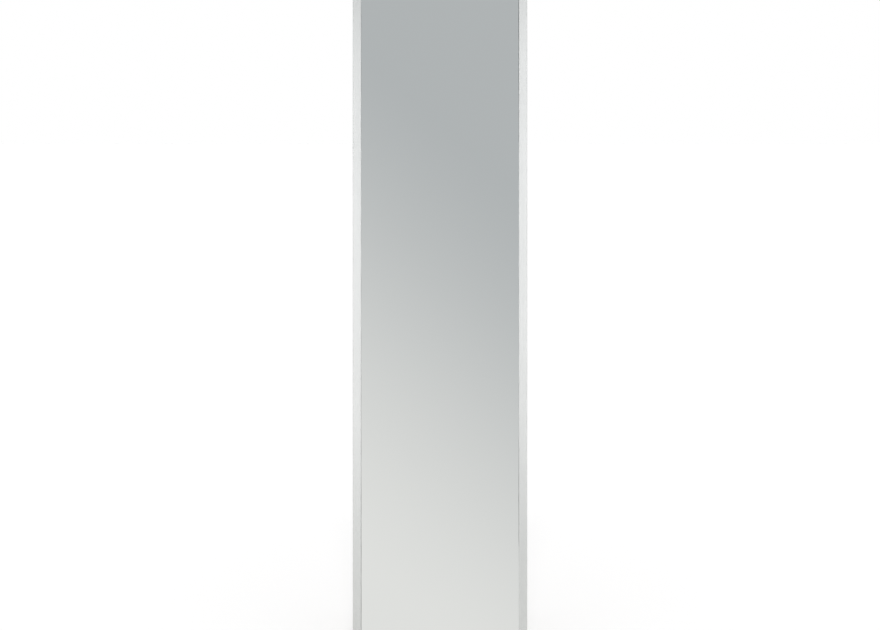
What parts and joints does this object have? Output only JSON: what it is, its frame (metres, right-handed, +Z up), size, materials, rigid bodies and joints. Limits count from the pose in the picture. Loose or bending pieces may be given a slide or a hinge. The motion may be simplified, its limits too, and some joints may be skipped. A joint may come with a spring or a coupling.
{
  "type": "floor mirror",
  "caption": "Tall narrow mirror in a slim satin aluminium frame, leaning on a folding U-shaped tube stand behind it.",
  "frame": {"origin": "on the floor, in the middle of the footprint of the opened mirror and stand", "axes": "+Z up, +X along the hinge axis to the mirror's right as seen from the front, the glass faces -Y and leans back towards +Y"},
  "size_m": [0.4, 0.3594, 1.5869],
  "materials": {
    "anodised_aluminium": "satin",
    "silvered_glass": "polished",
    "glazing_foam_tape": "matte",
    "liner_foam": "matte",
    "hardboard": "matte",
    "setting_rubber": "matte",
    "spring_steel": "satin",
    "zinc_plate": "satin",
    "bolt_steel": "satin",
    "powder_coat": "satin",
    "foot_rubber": "matte",
    "bush_nylon": "matte",
    "plug_plastic": "matte"
  },
  "bodies": {
    "mirror_frame": {"left_stile": "anodised_aluminium", "right_stile": "anodised_aluminium", "top_rail": "anodised_aluminium", "bottom_rail": "anodised_aluminium", "corner_key_bottom_left": "zinc_plate", "corner_key_bottom_right": "zinc_plate", "corner_key_top_left": "zinc_plate", "corner_key_top_right": "zinc_plate", "corner_key_shims": "spring_steel", "corner_key_screws": "bolt_steel", "glazing_tape": "glazing_foam_tape", "mirror_glass": "silvered_glass", "foam_sheet": "liner_foam", "back_board": "hardboard", "setting_blocks": "setting_rubber", "spring_clips": "spring_steel", "hinge_screws": "bolt_steel", "pivot_washers": "zinc_plate", "hinge_bracket_left": "zinc_plate", "hinge_bracket_right": "zinc_plate", "nut_plate_left": "zinc_plate", "nut_plate_right": "zinc_plate", "pivot_bolt_left": "bolt_steel", "pivot_bolt_right": "bolt_steel", "pivot_nut_left": "bolt_steel", "pivot_nut_right": "bolt_steel", "front_foot_left": "foot_rubber", "front_foot_right": "foot_rubber"},
    "stand": {"stand_tube": "powder_coat", "pivot_bushes": "bush_nylon", "end_plug_left": "plug_plastic", "end_plug_right": "plug_plastic", "rear_foot_left": "foot_rubber", "rear_foot_right": "foot_rubber"}
  },
  "joints": [
    {"name": "stand_hinge", "type": "hinge", "parent": "mirror_frame", "child": "stand", "pos_m": [0, 0.01524, 0.98832], "axis": [-1, 0, 0], "range_deg": [0, 18]}
  ]
}
